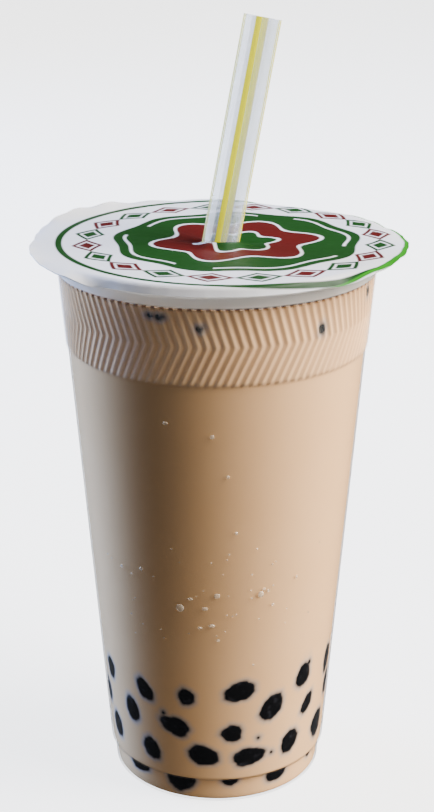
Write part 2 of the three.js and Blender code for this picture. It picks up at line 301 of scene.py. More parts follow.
HIDDEN_LAYERS = [
    # height, degrees from the viewer's side to the first one, how many
    (6.6, 84, 9), (16.2, 88, 8), (25.6, 100, 7), (35.2, 96, 7),
]
INNER_LAYERS = [
    # height, distance from the cup's axis, how many
    (8.0, 20.5, 12), (8.0, 10.5, 6), (17.2, 20.5, 12), (17.2, 10.5, 6), (26.4, 20.5, 12), (26.4, 10.5, 6),
]
chance = np.random.default_rng(11)


def patch_outline(direction, lumps):
    """How far the rim of a patch lies from its middle, as a share of its half width: 1 plus five small waves
    of the direction, each with its own strength and phase."""
    strengths, phases = lumps
    return 1 + sum([s * np.sin(k * direction + p) for k, s, p in zip(WAVES, strengths, phases)])


def new_lumps():
    """The strengths and phases of one pearl's five waves."""
    strengths = WAVE_STRENGTHS * chance.uniform(0.4, 1.3, 5)
    return strengths, chance.uniform(0, TURN, 5)


def foot_radius(z):
    """The foot's outer radius, which grows evenly from its base to its top."""
    return FOOT_RADIUS + (FOOT_TOP_RADIUS - FOOT_RADIUS) * z / FOOT_TOP


def tea_radius(z):
    """Where the drink meets the wall: halfway through its thickness, so that no air shows between the two."""
    return np.where(z < FOOT_TOP, foot_radius(z), wall_radius(z)) - TEA_INSET


def tilted(across, along, degrees):
    """Two coordinates turned in their plane: x cos t - y sin t and x sin t + y cos t."""
    cosine, sine = math.cos(math.radians(degrees)), math.sin(math.radians(degrees))
    return across * cosine - along * sine, across * sine + along * cosine


def pearl_rings(angle, height, width, tall, tilt, lumps, ball):
    """One pearl as rings about its own axis, which points out through the wall. Its cross-section at a depth
    s is the patch times sqrt(R^2 - (s - D)^2) / sqrt(R^2 - D^2), where R is the ball's radius and D how deep
    its middle lies. Three smaller rings close it just in front of the drink."""
    patch = 0.25 * (width + tall)
    sunk = math.sqrt(ball ** 2 - patch ** 2)
    direction = TURN * np.arange(PEARL_COLUMNS) / PEARL_COLUMNS
    outline = patch_outline(direction, lumps)
    behind = sunk - ball * np.cos(np.linspace(0, math.pi, 13))
    behind = behind[behind > 0.25]
    depths = np.concatenate([[-PEARL_PROUD - 0.03, -PEARL_PROUD - 0.02, -PEARL_PROUD], behind])
    scale = np.sqrt(np.clip(ball ** 2 - (depths - sunk) ** 2, 0.01, None)) / patch
    scale[:3] = (0.4, 0.8, 0.97)
    across, along = tilted(
        0.5 * width * scale[:, None] * outline * np.cos(direction),
        0.5 * tall * scale[:, None] * outline * np.sin(direction),
        tilt,
    )
    z = height + along
    deep = np.broadcast_to(depths[:, None], z.shape)
    round_the_cup = math.radians(angle) + across / wall_radius(height)
    touched = foot_radius(z) if height < FOOT_PEARLS else wall_radius(z)
    if height > BAND_BOTTOM:
        touched = crest_radius(z) - 0.6 * RIB_HEIGHT
    radius = touched - TEA_INSET - deep
    return np.stack([radius * np.sin(round_the_cup), -radius * np.cos(round_the_cup), z], -1)


def shell_mesh(name, shapes):
    """Many closed shells in one mesh: each is a stack of rings with a fan at its two ends."""
    vertices, faces, start = [], [], 0
    for rings in shapes:
        rows, columns = rings.shape[:2]
        column = np.arange(columns)
        following = (column + 1) % columns
        here = np.arange(rows - 1)[:, None] * columns
        beyond = here + columns
        quads = np.stack([here + column, beyond + column, beyond + following, here + following], -1)
        last = (rows - 1) * columns
        ends = [np.full(columns, rows * columns), np.full(columns, rows * columns + 1)]
        faces += (quads.reshape(-1, 4) + start).tolist()
        faces += (np.stack([column, following, ends[0]], -1) + start).tolist()
        faces += (np.stack([last + following, last + column, ends[1]], -1) + start).tolist()
        vertices.append(np.concatenate([rings.reshape(-1, 3), [rings[0].mean(0), rings[-1].mean(0)]]))
        start += rows * columns + 2
    mesh = bpy.data.meshes.new(name)
    mesh.from_pydata((np.concatenate(vertices) * MM).tolist(), [], faces)
    mesh.polygons.foreach_set("use_smooth", np.ones(len(mesh.polygons), bool))
    piece = bpy.data.objects.new(name, mesh)
    bpy.context.scene.collection.objects.link(piece)
    return piece


wall_pearls = [(*row, new_lumps(), PEARL_RADIUS) for row in SHOWN_PEARLS]
wall_pearls += [(*row, new_lumps(), CRUMB_DEPTH * max(row[2:4])) for row in CRUMBS]
for height, first, count in HIDDEN_LAYERS:
    for angle in first + (360 - 2 * first) * (np.arange(count) + 0.5) / count:
        size = chance.uniform(5.2, 8.0, 2)
        level = height + chance.uniform(-1.2, 1.2)
        turned_by = chance.uniform(-4, 4)
        tilt = chance.uniform(-40, 40)
        wall_pearls.append((angle + turned_by, level, *size, tilt, new_lumps(), PEARL_RADIUS))


def sunk_pearl(angle, radius, height):
    """A pearl inside the drink: a ball squashed to 0.9 of its height, with the same small waves round it."""
    direction = TURN * np.arange(16) / 16
    slope = np.linspace(0.12, math.pi - 0.12, 9)[:, None]
    size = PEARL_RADIUS * (0.94 + 0.06 * patch_outline(direction, new_lumps()))
    x = radius * math.sin(angle) + size * np.sin(slope) * np.cos(direction)
    y = -radius * math.cos(angle) - size * np.sin(slope) * np.sin(direction)
    z = height + 0.9 * PEARL_RADIUS * np.cos(slope) + 0 * direction
    return np.stack([x, y, z], -1)


pearl_shapes = [pearl_rings(*row) for row in wall_pearls]
for height, radius, count in INNER_LAYERS:
    for angle in TURN * (np.arange(count) + chance.uniform(0, 1)) / count:
        pearl_shapes.append(sunk_pearl(angle, radius, height + chance.uniform(-1, 1)))
pearls = shell_mesh("tapioca_pearls", pearl_shapes)

# Boiled tapioca: a dense, wet, rubbery starch with a soft gloss, nearly black. The paler streaks inside it
# are 2.4 mm apart.
tapioca, tree = finish_material("boiled_tapioca")
place = add(tree, "ShaderNodeTexCoord")
streaks = add(tree, "ShaderNodeTexNoise", {"Vector": place.outputs["Object"], "Scale": 420, "Detail": 3})
tone = add(tree, "ShaderNodeValToRGB", {"Fac": streaks.outputs["Fac"]})
tone.color_ramp.elements[0].position = 0.56
tone.color_ramp.elements[0].color = linear("#030305")
tone.color_ramp.elements[1].position = 0.78
tone.color_ramp.elements[1].color = linear("#2b2b31")
lumps_bump = add(tree, "ShaderNodeBump", {
    "Height": streaks.outputs["Fac"], "Strength": 0.2, "Distance": 0.0004,
})
starch = add(tree, "ShaderNodeBsdfPrincipled", {
    "Base Color": tone.outputs["Color"],
    "Roughness": 0.45,
    "IOR": 1.4,
    "Specular IOR Level": 0.1,
    "Normal": lumps_bump.outputs[0],
})
add(tree, "ShaderNodeOutputMaterial", {"Surface": starch.outputs[0]})
pearls.data.materials.append(tapioca)
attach(pearls, "root")
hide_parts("pearls")

# Milk tea: black tea with milk, poured in up to just under the neck, so that it fills the cup and the backs
# of its ribs. It is cut round the straw, whose bore it also fills to the same level.
TEA_LEVEL = 154.0
TEA_FLOOR = 0.5
MENISCUS = 0.35
HALO = 3.0
SEEN_THROUGH = 2.4
STRAW_RADIUS = 5.25
STRAW_WALL = 0.45
STRAW_ENTRY = np.array([1.1, 0.0, 162.0])
STRAW_LEAN = math.radians(12.36)
STRAW_LEAN_TOWARDS = math.radians(31.4)
STRAW_BELOW_FILM = 122.0
STRAW_POINT = 11.0
STRAW_CLEARANCE = 0.1


def straw_axes():
    """Three unit vectors of the straw: the upright x, y and z axes turned by the straw's lean about the level
    line k that is square to it: v cos l + (k x v) sin l + k (k . v)(1 - cos l)."""
    hinge = np.array([-math.sin(STRAW_LEAN_TOWARDS), math.cos(STRAW_LEAN_TOWARDS), 0.0])
    upright = np.eye(3)
    return (
        upright * math.cos(STRAW_LEAN)
        + np.cross(hinge, upright) * math.sin(STRAW_LEAN)
        + np.outer(upright @ hinge, hinge) * (1 - math.cos(STRAW_LEAN))
    )


def straw_ring(radius, along, columns):
    """A circle round the straw's axis: entry + r (cos a x + sin a y) + along z. along is its distance from
    the film, one number or one for each column."""
    x_axis, y_axis, z_axis = straw_axes()
    angle = TURN * np.arange(columns)[:, None] / columns
    along = np.broadcast_to(np.asarray(along, float).reshape(-1, 1), (columns, 1))
    return STRAW_ENTRY + radius * (np.cos(angle) * x_axis + np.sin(angle) * y_axis) + along * z_axis


def straw_point(radius, columns):
    """How far along the straw its slanting lower end lies, for each column: lower the larger cos a is."""
    angle = TURN * np.arange(columns) / columns
    return -STRAW_BELOW_FILM + STRAW_POINT * (0.5 - 0.5 * radius * np.cos(angle) / STRAW_RADIUS)


def straw_at_level(radius, level, columns):
    """Where the straw's cylinder crosses a level plane: each line of it is followed up to that height."""
    base = straw_ring(radius, 0.0, columns)
    z_axis = straw_axes()[2]
    return base + (level - base[:, 2:]) / z_axis[2] * z_axis


def between(first, last, shares):
    """Rings between two rings: first + share * (last - first)."""
    return first[None] + np.asarray(shares)[:, None, None] * (last - first)[None]


def band_tea(z):
    """The drink's radius behind the ribs: it follows them at half the wall's thickness."""
    return crest_radius(z) - rib_depth(around) - TEA_INSET


tea_corner = FOOT_RADIUS - TEA_INSET
tea_foot_top = foot_radius(FOOT_TOP) - TEA_INSET
band_tea_rows = band_rows[band_rows < TEA_LEVEL - 0.4]
tea_profile = (
    [(tea_corner - 9, TEA_FLOOR), (tea_corner - 3, TEA_FLOOR)]
    + arc((tea_corner - 1, TEA_FLOOR + 1), 1, -90, 0, 5)
    + [(foot_radius(z) - TEA_INSET, z) for z in np.linspace(1.9, FOOT_TOP - 0.15, 9)]
    + [(tea_foot_top + 0.1, FOOT_TOP), (tea_foot_top + 0.4, FOOT_TOP + 0.3)]
    + [(tea_radius(STEP_TOP) - 0.15, STEP_TOP - 0.15)]
    + [(tea_radius(z), z) for z in np.linspace(STEP_TOP, 43.5, 62)]
    + [(tea_radius(z), z) for z in (50, 60, 75, 90, 105, 120, 132, BAND_BOTTOM - 0.05)]
    + [(band_tea(z), z) for z in band_tea_rows]
    + [(band_tea(TEA_LEVEL + MENISCUS), TEA_LEVEL + MENISCUS)]
    + [
        (wall_radius(TEA_LEVEL) - inwards, TEA_LEVEL + MENISCUS * share)
        for inwards, share in ((1.2, 0.55), (1.8, 0.2), (3.0, 0.0))
    ]
)
tea_wall = turned(tea_profile)
tea_rim = tea_wall[-1]
tea_start = int(round(rib_turn(BAND_TOP) / TURN * COLUMNS))
bore = STRAW_RADIUS + STRAW_CLEARANCE
core = STRAW_RADIUS - STRAW_WALL - STRAW_CLEARANCE
surface_hole = np.roll(straw_at_level(bore, TEA_LEVEL, COLUMNS), -tea_start, 0)
bore_foot = np.roll(straw_ring(bore, straw_point(bore, COLUMNS), COLUMNS), -tea_start, 0)
core_foot = np.roll(straw_ring(core, straw_point(core, COLUMNS), COLUMNS), -tea_start, 0)
surface_core = np.roll(straw_at_level(core, TEA_LEVEL, COLUMNS), -tea_start, 0)
tea_rings = np.concatenate([
    tea_wall,
    between(tea_rim, surface_hole, (0.35, 0.7, 1.0)),
    between(surface_hole, bore_foot, (0.5, 1.0)),
    core_foot[None],
    between(core_foot, surface_core, (0.5, 1.0)),
])
tea = ring_skin("milk_tea_fill", tea_rings, crease=60)


def pearl_nearness(points):
    """How far each point of the drink's surface lies from the rim of the nearest patch: 0 inside it and at
    most HALO. A patch of half width p ends where the distance from its middle, over its outline, is p."""
    angle = np.arctan2(points[:, 0], -points[:, 1])
    away_from_rim = np.full(len(points), HALO)
    for middle, height, width, tall, tilt, lumps, _ in wall_pearls:
        turn = (angle - math.radians(middle) + math.pi) % TURN - math.pi
        across, along = tilted(turn * wall_radius(height), points[:, 2] - height, -tilt)
        u, v = across / (0.5 * width), along / (0.5 * tall)
        away = (np.hypot(u, v) / patch_outline(np.arctan2(v, u), lumps) - 1) * 0.25 * (width + tall)
        in_foot = points[:, 2] < FOOT_TOP + 0.1
        same_wall = in_foot if height < FOOT_PEARLS else ~in_foot
        away_from_rim = np.minimum(away_from_rim, np.where(same_wall, np.clip(away, 0, HALO), HALO))
    return away_from_rim


tea_points = np.zeros(len(tea.data.vertices) * 3)
tea.data.vertices.foreach_get("co", tea_points)
tea_points = tea_points.reshape(-1, 3) / MM
cover = tea.data.attributes.new("milk_over_pearl", "FLOAT", "POINT")
cover.data.foreach_set("value", pearl_nearness(tea_points))

# Milky tea: an opaque suspension of fat droplets, matt in itself, since the wall in front of it gives the
# gloss. Just outside a patch the pearl falls away under its surface and shows through as a cool grey shade.
# Its faint clouds are 25 mm wide.
milky_tea, tree = finish_material("milky_tea")
place = add(tree, "ShaderNodeTexCoord")
clouds = add(tree, "ShaderNodeTexNoise", {
    "Vector": place.outputs["Object"], "Scale": 1 / (25 * MM), "Detail": 4,
})
body = add(tree, "ShaderNodeMix", {
    "Factor": clouds.outputs["Fac"],
    "A": linear("#dcac78"),
    "B": linear("#e3b684"),
}, data_type="RGBA")
over = add(tree, "ShaderNodeAttribute", attribute_name="milk_over_pearl")
reach = add(tree, "ShaderNodeMath", {0: over.outputs["Fac"], 1: SEEN_THROUGH}, operation="DIVIDE")
shade = add(tree, "ShaderNodeValToRGB", {"Fac": reach.outputs[0]})
shade.color_ramp.elements[0].position = 0.0
shade.color_ramp.elements[0].color = (1, 1, 1, 1)
shade.color_ramp.elements[1].position = 0.95
shade.color_ramp.elements[1].color = (0, 0, 0, 1)
for position, level in ((0.07, 0.86), (0.25, 0.58), (0.5, 0.28), (0.75, 0.08)):
    shade.color_ramp.elements.new(position).color = (level, level, level, 1)
veil = add(tree, "ShaderNodeValToRGB", {"Fac": reach.outputs[0]})
veil.color_ramp.elements[0].position = 0.0
veil.color_ramp.elements[0].color = linear("#1c2229")
veil.color_ramp.elements[1].position = 0.4
veil.color_ramp.elements[1].color = linear("#818b97")
seen_pearl = add(tree, "ShaderNodeMix", {
    "Factor": shade.outputs["Color"],
    "A": body.outputs["Result"],
    "B": veil.outputs["Color"],
}, data_type="RGBA")
drink = add(tree, "ShaderNodeBsdfPrincipled", {
    "Base Color": seen_pearl.outputs["Result"],
    "Roughness": 0.6,
    "IOR": 1.34,
    "Specular IOR Level": 0.1,
})
add(tree, "ShaderNodeOutputMaterial", {"Surface": drink.outputs[0]})
tea.data.materials.append(milky_tea)
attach(tea, "root")
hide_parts("milk_tea")

# Straw: a wide polypropylene tube, extruded with coloured stripes and cut to a point at its lower end, which
# punches the film. It leans against the back of the hole, and its point stands among the pearls.
STRAW_ABOVE_FILM = 62.5
STRAW_COLUMNS = 96
STRAW_LIP = 0.12
STRIPES = 4
STRIPE_TURN = math.radians(-12)
ABOVE_POINT = -105
outer, inner = STRAW_RADIUS, STRAW_RADIUS - STRAW_WALL
straight = np.linspace(ABOVE_POINT, STRAW_ABOVE_FILM - STRAW_LIP, 24)
straw_points = np.concatenate([
    straw_ring(inner, straw_point(inner, STRAW_COLUMNS), STRAW_COLUMNS)[None],
    straw_ring(outer, straw_point(outer, STRAW_COLUMNS), STRAW_COLUMNS)[None],
    np.stack([straw_ring(outer, along, STRAW_COLUMNS) for along in straight]),
    straw_ring(outer - STRAW_LIP, STRAW_ABOVE_FILM, STRAW_COLUMNS)[None],
    straw_ring(inner + STRAW_LIP, STRAW_ABOVE_FILM, STRAW_COLUMNS)[None],
    np.stack([straw_ring(inner, along, STRAW_COLUMNS) for along in straight[::-1]]),
])
straw = ring_skin("wide_straw", straw_points, ends="loop")
straw_angle = TURN * np.tile(np.arange(STRAW_COLUMNS), len(straw_points)) / STRAW_COLUMNS
straw_turn = np.stack([np.cos(straw_angle), np.sin(straw_angle), 0 * straw_angle], -1)
round_mark = straw.data.attributes.new("round_straw", "FLOAT_VECTOR", "POINT")
round_mark.data.foreach_set("vector", straw_turn.ravel())

# Extruded polypropylene with no pigment but in the stripes: milky and half clear, so that the far stripes
# show through the wall, with a waxy gloss.
striped_pp, tree = finish_material("striped_extruded_polypropylene")
round_straw = add(tree, "ShaderNodeAttribute", attribute_name="round_straw")
parts = add(tree, "ShaderNodeSeparateXYZ", {0: round_straw.outputs["Vector"]})
where = add(tree, "ShaderNodeMath", {0: parts.outputs["Y"], 1: parts.outputs["X"]}, operation="ARCTAN2")
# The stripes are counted from the viewer's side, which is a quarter turn before the tube's x axis.
from_stripe = add(tree, "ShaderNodeMath", {
    0: where.outputs[0], 1: math.pi / 2 - STRIPE_TURN,
}, operation="ADD")
stripe_angle = add(tree, "ShaderNodeMath", {
    0: from_stripe.outputs[0], 1: float(STRIPES),
}, operation="MULTIPLY")
wave = add(tree, "ShaderNodeMath", {0: stripe_angle.outputs[0]}, operation="COSINE")
stripe = add(tree, "ShaderNodeMapRange", {"Value": wave.outputs[0], "From Min": 0.74, "From Max": 0.84})
tint = add(tree, "ShaderNodeMix", {
    "Factor": stripe.outputs[0],
    "A": linear("#dfe2e6"),
    "B": linear("#efe500"),
}, data_type="RGBA")
plastic = add(tree, "ShaderNodeBsdfDiffuse", {"Color": tint.outputs["Result"]})
glowing = add(tree, "ShaderNodeBsdfTranslucent", {"Color": tint.outputs["Result"]})
milky = add(tree, "ShaderNodeMixShader", {0: 0.4, 1: plastic.outputs[0], 2: glowing.outputs[0]})
stained = add(tree, "ShaderNodeMix", {
    "Factor": stripe.outputs[0],
    "A": linear("#eff0f2"),
    "B": linear("#f0ea18"),
}, data_type="RGBA")
clear = add(tree, "ShaderNodeBsdfTransparent", {"Color": stained.outputs["Result"]})
cover_share = add(tree, "ShaderNodeMapRange", {"Value": stripe.outputs[0], "To Min": 0.13, "To Max": 0.78})
wall = add(tree, "ShaderNodeMixShader", {
    0: cover_share.outputs[0], 1: clear.outputs[0], 2: milky.outputs[0],
})
facing = add(tree, "ShaderNodeLayerWeight", {"Blend": 0.5})
grazing = add(tree, "ShaderNodeMath", {0: facing.outputs["Facing"], 1: 5.0}, operation="POWER")
mirrored = add(tree, "ShaderNodeMath", {0: grazing.outputs[0], 1: 0.96, 2: 0.04}, operation="MULTIPLY_ADD")
gloss = add(tree, "ShaderNodeBsdfGlossy", {"Color": linear("#ffffff"), "Roughness": 0.12})
tube = add(tree, "ShaderNodeMixShader", {0: mirrored.outputs[0], 1: wall.outputs[0], 2: gloss.outputs[0]})
add(tree, "ShaderNodeOutputMaterial", {"Surface": tube.outputs[0]})
straw.data.materials.append(striped_pp)
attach(straw, "root")
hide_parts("straw")

# Film lid: a thin printed heat-seal film, pressed on the lip by a hot ring. The straw has punched and dented
# it. Its cut edge is ironed down over the lip in front, droops at the back right and curls up at the back
# left.
FILM_TOP = 162.0
FILM_THICKNESS = 0.3
SEAL_RADIUS = 48.3
SEAL_CORNER = 0.6
FLAT_RADIUS = 44.0
DISC_SAG = 0.12
FILM_COLUMNS = 360
FLANGE_WIDTH = 5.2
PRESSED_WIDTH = 2.8
PRESSED_REACH = (34, 52)
PRESSED_BEND = 70
FOLD = 1.8
FLANGE_STEPS = 22
RIPPLE = math.radians(9)
DIMPLE_DEPTH = 1.1
DIMPLE_RADIUS = 11.0
HOLE_RISE = 1.9
HOLE_RISE_REACH = 2.6
PRINT_SIZE = 120.0
film_angle = TURN * np.arange(FILM_COLUMNS) / FILM_COLUMNS
film_degrees = np.degrees(film_angle)


def bump(at, spread):
    """A smooth bump of the angle round the cup: exp(-((a - at) / spread)^2)."""
    away = (film_degrees - at + 180) % 360 - 180
    return np.exp(-((away / spread) ** 2))


from_front = np.abs((film_degrees + 270) % 360 - 180)
pressed = 1 - smooth(from_front, *PRESSED_REACH)
loose_bend = 14 * bump(48, 40) - 18 * bump(132, 22) + 3 * np.sin(7 * film_angle)
flange_bend = np.radians(loose_bend + (PRESSED_BEND - loose_bend) * pressed)
cut_width = FLANGE_WIDTH - 1.6 * bump(178, 12) + 0.25 * np.sin(5 * film_angle + 1)
flange_width = cut_width + (PRESSED_WIDTH - cut_width) * pressed
edge_waves = (
    0.10 * np.sin(23 * film_angle + 2)
    + 0.07 * np.sin(41 * film_angle)
    + 0.05 * np.sin(67 * film_angle + 4)
)
hole = straw_at_level(STRAW_RADIUS + 0.25, FILM_TOP, FILM_COLUMNS)[:, :2]
rim = FLAT_RADIUS * np.stack([np.cos(film_angle), np.sin(film_angle)], -1)
disc_shares = np.linspace(0, 1, 34) ** 1.4
disc = hole[None] + disc_shares[:, None, None] * (rim - hole)[None]
from_middle = np.hypot(disc[..., 0], disc[..., 1])
from_straw = np.hypot(disc[..., 0] - STRAW_ENTRY[0], disc[..., 1] - STRAW_ENTRY[1])
creases = np.sin(7 * film_angle + 0.4) + 0.6 * np.sin(11 * film_angle + 2.1)
dent = DIMPLE_DEPTH * np.exp(-((from_middle / DIMPLE_RADIUS) ** 2))
puckers = 0.22 * np.exp(-(from_straw - STRAW_RADIUS) / 7) * creases * smooth(from_straw, 5.3, 8)
slack = 0.10 * np.sin(2 * film_angle + 0.7) * smooth(from_middle, 8, 24) * (1 - smooth(from_middle, 36, 44))
disc_height = np.minimum(FILM_TOP - DISC_SAG - dent - puckers - slack, FILM_TOP)
# In front of the straw the torn edge stands up as a low lip: it falls off with the distance from the straw
# and towards the straw's sides.
towards_viewer = np.clip((STRAW_ENTRY[1] - disc[..., 1]) / np.maximum(from_straw, 1), 0, 1)
lip_rise = HOLE_RISE * np.exp(-(((from_straw - STRAW_RADIUS) / HOLE_RISE_REACH) ** 2)) * towards_viewer ** 0.6
disc_points = np.concatenate([disc, (disc_height + lip_rise)[..., None]], -1)
seal_steps = np.array([0.25, 0.5, 0.75, 0.9])
seal_height = FILM_TOP - DISC_SAG * (1 - seal_steps)
seal_end = SEAL_RADIUS - SEAL_CORNER
seal_radius = FLAT_RADIUS + (seal_end - FLAT_RADIUS) * seal_steps
seal_points = np.stack([
    seal_radius[:, None] * np.cos(film_angle),
    seal_radius[:, None] * np.sin(film_angle),
    np.broadcast_to(seal_height[:, None], (len(seal_steps), FILM_COLUMNS)),
], -1)
# The flange leaves the level through a small fold and then runs straight at its bend: its slope grows from 0
# to the bend over the first FOLD of its length, and its place is the running sum of steps along that slope.
# Two uneven waves ripple its outer part, most of all at the left.
flange_share = np.linspace(0, 1, FLANGE_STEPS + 1)[:, None]
flange_length = (flange_width + SEAL_CORNER)[None] * flange_share
long_ripple = np.sin(13 * film_angle + 3 * np.sin(3 * film_angle))
short_ripple = 0.7 * np.sin(29 * film_angle + 4 * np.sin(2 * film_angle))
ripple = RIPPLE * (long_ripple + short_ripple) * smooth(flange_share, 0.3, 1)
ripple = ripple * (1 - 0.65 * pressed) * (0.4 + 0.6 * bump(150, 60) + 0.5 * bump(225, 25))
bend_here = flange_bend * np.clip(flange_length / FOLD, 0, 1) + ripple
step_length = np.diff(flange_length, axis=0)
step_bend = 0.5 * (bend_here[1:] + bend_here[:-1])
flange_out = np.concatenate([0 * film_angle[None], np.cumsum(step_length * np.cos(step_bend), 0)])
flange_down = np.concatenate([0 * film_angle[None], np.cumsum(step_length * np.sin(step_bend), 0)])
flange_out = flange_out + edge_waves * flange_share * (1 - 0.6 * pressed)
flange_radius = seal_end + flange_out
flange_points = np.stack([
    flange_radius * np.cos(film_angle), flange_radius * np.sin(film_angle), FILM_TOP - flange_down,
], -1)
film_upper = np.concatenate([disc_points, seal_points, flange_points])
# The print lies on the film as it was when flat, so each point keeps its distance along the film from the
# middle.
flat_radius = np.concatenate([
    from_middle,
    np.broadcast_to(seal_radius[:, None], (len(seal_steps), FILM_COLUMNS)),
    seal_end + flange_length,
])
flat_angle = np.arctan2(film_upper[..., 1], film_upper[..., 0])
flat = np.stack([flat_radius * np.cos(flat_angle), flat_radius * np.sin(flat_angle)], -1)
outwards = np.gradient(film_upper, axis=0)
sideways = np.roll(film_upper, -1, 1) - np.roll(film_upper, 1, 1)
film_normal = np.cross(outwards, sideways)
film_normal /= np.linalg.norm(film_normal, axis=-1, keepdims=True)
film_lower = film_upper - FILM_THICKNESS * film_normal
film_rings = np.concatenate([film_lower, film_upper[::-1]])
film = ring_skin("film_lid", film_rings, ends="loop", crease=50)
print_places = np.concatenate([flat, flat[::-1]]).reshape(-1, 2) / PRINT_SIZE + 0.5
print_map = film.data.uv_layers.new(name="print")
corner_points = np.zeros(len(film.data.loops), int)
film.data.loops.foreach_get("vertex_index", corner_points)
print_map.data.foreach_set("uv", print_places[corner_points].ravel())

# Heat-seal film: white polyethylene on polypropylene, gravure printed in green and red, with a satin face.
# The print is a generic one: a thin green ring, a ring of green and red lozenges, and a wavy green medallion
# with a red rosette. The film's crinkles are 6 mm apart.
GREEN, BRIGHT_GREEN, RED, WHITE = "#023504", "#1f7a06", "#4a0201", "#d4d4d8"
LOZENGES = 20
LOZENGE_RADIUS = 41.3
RING_RADIUS = 49.2
MEDALLION_RADIUS = 34.5
MEDALLION_LINE_RADIUS = 31.2
ROSETTE_RADIUS = 22.0
HEART_RADIUS = 11.0
WHITE_RIM = 1.2
printed_film, tree = finish_material("printed_heat_seal_film")


def math_node(operation, first, second=0.0):
    """One number from two, by a Math node's operation."""
    return add(tree, "ShaderNodeMath", {0: first, 1: second}, operation=operation).outputs[0]


def inside(value, limit, blur=0.25):
    """1 where a value is below a limit and 0 above it, with a printed edge blur millimetres wide."""
    return add(tree, "ShaderNodeMapRange", {
        "Value": value, "From Min": limit - blur, "From Max": limit + blur, "To Min": 1.0, "To Max": 0.0,
    }).outputs[0]


def inked(under, share, colour):
    """A colour over another one where share is 1."""
    return add(tree, "ShaderNodeMix", {
        "Factor": share, "A": under, "B": linear(colour),
    }, data_type="RGBA").outputs["Result"]


def polar(x_middle, y_middle):
    """Distance and direction from a point of the print, in mm and radians."""
    x = math_node("SUBTRACT", print_x, x_middle)
    y = math_node("SUBTRACT", print_y, y_middle)
    squares = math_node("ADD", math_node("MULTIPLY", x, x), math_node("MULTIPLY", y, y))
    return math_node("SQRT", squares), math_node("ARCTAN2", y, x)


def wavy(distance, direction, waves, height, phase=0.0):
    """A distance that is shortened and lengthened round the circle: d - height * sin(waves * a + phase)."""
    angle = add(tree, "ShaderNodeMath", {0: direction, 1: float(waves), 2: phase}, operation="MULTIPLY_ADD")
    sine = math_node("SINE", angle.outputs[0])
    return math_node("SUBTRACT", distance, math_node("MULTIPLY", sine, height))


uv = add(tree, "ShaderNodeUVMap", uv_map="print")
spread_out = add(tree, "ShaderNodeMapping", {
    "Vector": uv.outputs[0],
    "Location": (-PRINT_SIZE / 2, -PRINT_SIZE / 2, 0),
    "Scale": (PRINT_SIZE, PRINT_SIZE, 1),
})
print_axes = add(tree, "ShaderNodeSeparateXYZ", {0: spread_out.outputs[0]})
print_x, print_y = print_axes.outputs["X"], print_axes.outputs["Y"]
ring_distance, ring_direction = polar(4.6, 1.8)
medal_distance, medal_direction = polar(5.6, 1.0)
film_distance = polar(0.0, 0.0)[0]

# Green and red lozenges stand in turn in the white field, each in a cell of its own, and each is a solid core
# in an outline: both end where 0.66 times the way along the ring and the way across it add up to a limit.
cell = math_node("MULTIPLY", ring_direction, LOZENGES / TURN)
cell_place = math_node("SUBTRACT", math_node("FRACT", cell), 0.5)
along_cell = math_node("ABSOLUTE", math_node("MULTIPLY", cell_place, TURN * 41.0 / LOZENGES))
across_cell = math_node("ABSOLUTE", math_node("SUBTRACT", ring_distance, LOZENGE_RADIUS))
from_core = math_node("ADD", math_node("MULTIPLY", along_cell, 0.66), across_cell)
odd_cell = math_node("GREATER_THAN", math_node("FRACT", math_node("MULTIPLY", cell, 0.5)), 0.5)
outline = math_node("MULTIPLY", inside(from_core, 4.4), math_node("SUBTRACT", 1.0, inside(from_core, 3.1)))
lozenge = math_node("MAXIMUM", outline, inside(from_core, 2.3))
ink = inked(linear(WHITE), math_node("MULTIPLY", lozenge, odd_cell), GREEN)
ink = inked(ink, math_node("MULTIPLY", lozenge, math_node("SUBTRACT", 1.0, odd_cell)), RED)
# The thin green ring near the lip, which is brighter where the film droops past it.
from_ring = math_node("ABSOLUTE", math_node("SUBTRACT", ring_distance, RING_RADIUS))
ink = inked(ink, inside(from_ring, 0.95), GREEN)
past_lip = math_node("SUBTRACT", 1.0, inside(film_distance, 51.2))
ink = inked(ink, math_node("MULTIPLY", inside(from_ring, 1.3), past_lip), BRIGHT_GREEN)
# The medallion, its broken white line, and the rosette with its white rim and green heart.
medallion = wavy(medal_distance, medal_direction, 9, 0.9)
ink = inked(ink, inside(medallion, MEDALLION_RADIUS), GREEN)
from_line = math_node("ABSOLUTE", math_node("SUBTRACT", medallion, MEDALLION_LINE_RADIUS))
broken = math_node("GREATER_THAN", math_node("SINE", math_node("MULTIPLY", medal_direction, 4.0)), -0.75)
ink = inked(ink, math_node("MULTIPLY", inside(from_line, 0.45), broken), WHITE)
for radius, petal, colour in ((ROSETTE_RADIUS, 3.0, RED), (HEART_RADIUS, 1.6, GREEN)):
    petals = wavy(medal_distance, medal_direction, 6, petal, 0.5)
    ink = inked(ink, inside(petals, radius), WHITE)
    ink = inked(ink, inside(petals, radius - WHITE_RIM), colour)
place = add(tree, "ShaderNodeTexCoord")
crinkle = add(tree, "ShaderNodeTexNoise", {
    "Vector": place.outputs["Object"], "Scale": 1 / (6.25 * MM), "Detail": 3,
})
crinkle_bump = add(tree, "ShaderNodeBump", {
    "Height": crinkle.outputs["Fac"], "Strength": 0.25, "Distance": 0.0006,
})
film_face = add(tree, "ShaderNodeBsdfPrincipled", {
    "Base Color": ink,
    "Roughness": 0.5,
    "IOR": 1.49,
    "Specular IOR Level": 0.3,
    "Normal": crinkle_bump.outputs[0],
})
film_glow = add(tree, "ShaderNodeBsdfTranslucent", {"Color": ink})
thin_film = add(tree, "ShaderNodeMixShader", {0: 0.25, 1: film_face.outputs[0], 2: film_glow.outputs[0]})
add(tree, "ShaderNodeOutputMaterial", {"Surface": thin_film.outputs[0]})
